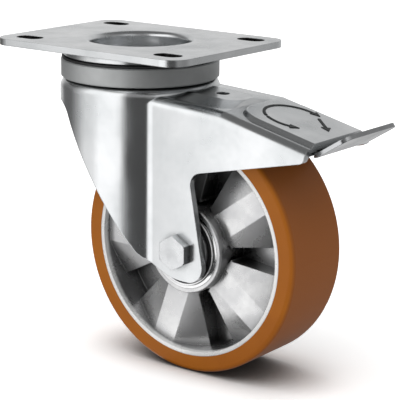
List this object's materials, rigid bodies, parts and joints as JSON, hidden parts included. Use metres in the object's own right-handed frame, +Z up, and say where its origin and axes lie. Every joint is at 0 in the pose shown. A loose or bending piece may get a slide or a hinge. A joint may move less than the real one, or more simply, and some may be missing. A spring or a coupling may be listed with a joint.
{
  "type": "swivel castor",
  "caption": "Swivel castor with a slotted plate fitting, pressed steel fork, foot-pedal lock and a polyurethane-treaded aluminium wheel on ball bearings.",
  "frame": {"origin": "centre of the plate's upper face, on the swivel axis", "axes": "+Z up along the swivel axis, +X along the trail towards the brake pedal, Y along the wheel's axle"},
  "size_m": [0.2342, 0.11, 0.19],
  "materials": {
    "zinc_plate": "bright zinc-plated pressed sheet",
    "zinc_satin": "satin zinc-plated turned ring",
    "zinc_lever": "bright zinc-plated strip",
    "zinc_fastener": "bright zinc-plated fastener",
    "bearing_steel": "ground and polished bearing steel",
    "cage_plastic": "natural nylon",
    "polyurethane": "smooth moulded polyurethane, orange-brown",
    "cast_aluminium": "die-cast aluminium with machined edges",
    "black_rubber": "black rubber"
  },
  "bodies": {
    "plate": {"top_plate": "zinc_plate", "upper_race": "zinc_plate", "head_seal": "black_rubber", "lower_race": "zinc_plate", "king_pin": "zinc_fastener", "king_pin_washer": "zinc_fastener", "king_pin_nut": "zinc_fastener"},
    "swivel": {"fork": "zinc_plate", "dust_ring": "zinc_satin", "upper_balls": "bearing_steel", "upper_ball_cage": "cage_plastic", "lower_balls": "bearing_steel", "lower_ball_cage": "cage_plastic", "axle_bolt": "zinc_fastener", "axle_nut": "zinc_fastener", "axle_tube": "zinc_fastener", "hub_spacer_near": "zinc_fastener", "hub_spacer_far": "zinc_fastener", "bearing_inner_ring_near": "bearing_steel", "bearing_inner_ring_far": "bearing_steel", "brake_carrier": "zinc_plate", "brake_pivot_pin": "zinc_fastener"},
    "wheel": {"tread": "polyurethane", "wheel_centre": "cast_aluminium", "bearing_outer_ring_near": "bearing_steel", "bearing_outer_ring_far": "bearing_steel", "bearing_balls_near": "bearing_steel", "bearing_balls_far": "bearing_steel", "bearing_seal_near": "black_rubber", "bearing_seal_far": "black_rubber"},
    "brake": {"brake_lever": "zinc_lever", "brake_shoe": "black_rubber", "shoe_rivets": "zinc_fastener"}
  },
  "joints": [
    {"name": "swivel_turn", "type": "hinge", "parent": "plate", "child": "swivel", "pos_m": [0, 0, 0], "axis": [0, 0, 1], "continuous": true},
    {"name": "wheel_spin", "type": "hinge", "parent": "swivel", "child": "wheel", "pos_m": [0.055, 0, -0.115], "axis": [0, 1, 0], "continuous": true},
    {"name": "brake_pedal", "type": "hinge", "parent": "swivel", "child": "brake", "pos_m": [0.061, 0, -0.03395], "axis": [0, 1, 0], "range_deg": [0, 8]}
  ]
}
